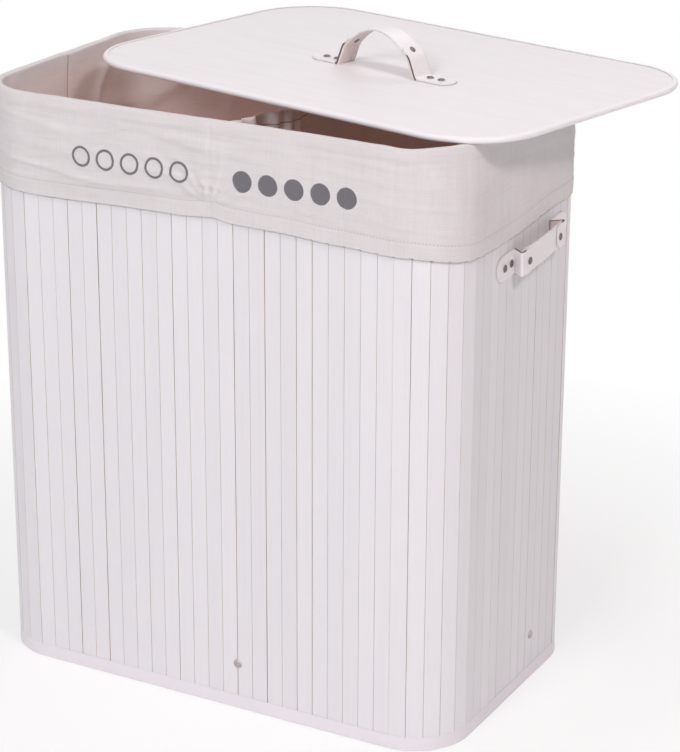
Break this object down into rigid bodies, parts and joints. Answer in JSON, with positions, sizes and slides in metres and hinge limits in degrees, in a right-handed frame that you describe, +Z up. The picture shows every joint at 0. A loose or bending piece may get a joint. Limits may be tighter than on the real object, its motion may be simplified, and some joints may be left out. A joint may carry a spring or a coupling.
{
  "type": "laundry hamper",
  "caption": "Slatted rectangular laundry hamper with a folded cloth liner divided into two bins, riveted strap handles and a loose flat lid lying askew.",
  "frame": {"origin": "middle of the whole part's footprint at floor level, with the lid where it lies; the hamper's own centre is 34.7 mm to -X and 72.5 mm to -Y of it", "axes": "+X to the hamper's right, along its long side; +Y to its back; +Z up"},
  "size_m": [0.6228, 0.464, 0.6512],
  "materials": {
    "slats": "thin white paint over fine upright grain",
    "mat_tape": "white coated edging tape",
    "base_board": "white painted board",
    "clips": "plain bent strip",
    "rivets": "dark grey domed heads",
    "straps": "white coated face with raw brown edges",
    "liner_cloth": "unbleached cotton and linen weave",
    "lid_face": "white painted fine slats along the lid",
    "lid_tape": "white coated edging tape"
  },
  "bodies": {
    "frame": {"wall_front": "slats", "wall_back": "slats", "wall_left": "slats", "wall_right": "slats", "corner_front_left": "slats", "corner_front_right": "slats", "corner_back_left": "slats", "corner_back_right": "slats", "top_binding": "mat_tape", "bottom_binding": "mat_tape", "base_board": "base_board", "clip_front": "clips", "clip_right": "clips", "clip_back": "clips", "clip_left": "clips", "clip_rivet_front": "rivets", "clip_rivet_right": "rivets", "clip_rivet_back": "rivets", "clip_rivet_left": "rivets", "right_handle_foot_near": "straps", "right_handle_foot_far": "straps", "right_handle_grip": "straps", "right_handle_foot_rivet_1": "rivets", "right_handle_foot_rivet_2": "rivets", "right_handle_foot_rivet_3": "rivets", "right_handle_foot_rivet_4": "rivets", "right_handle_shoulder_rivet_near": "rivets", "right_handle_shoulder_rivet_far": "rivets", "left_handle_foot_near": "straps", "left_handle_foot_far": "straps", "left_handle_grip": "straps", "left_handle_foot_rivet_1": "rivets", "left_handle_foot_rivet_2": "rivets", "left_handle_foot_rivet_3": "rivets", "left_handle_foot_rivet_4": "rivets", "left_handle_shoulder_rivet_near": "rivets", "left_handle_shoulder_rivet_far": "rivets"},
    "liner": {"liner_cuff_left": "liner_cloth", "liner_cuff_right": "liner_cloth", "liner_bag_left": "liner_cloth", "liner_bag_right": "liner_cloth", "liner_divider": "liner_cloth", "liner_floor": "liner_cloth"},
    "lid": {"lid_board": "lid_face", "lid_binding": "lid_tape", "lid_handle_foot_near": "straps", "lid_handle_foot_far": "straps", "lid_handle_grip": "straps", "lid_handle_foot_rivet_1": "rivets", "lid_handle_foot_rivet_2": "rivets", "lid_handle_foot_rivet_3": "rivets", "lid_handle_foot_rivet_4": "rivets", "lid_handle_shoulder_rivet_near": "rivets", "lid_handle_shoulder_rivet_far": "rivets"}
  },
  "joints": [
    {"name": "liner_lift", "type": "slide", "parent": "frame", "child": "liner", "axis": [0, 0, 1], "range_m": [0, 0.56]},
    {"name": "lid_lift", "type": "slide", "parent": "liner", "child": "lid", "axis": [0, 0, 1], "range_m": [0, 0.3]}
  ]
}
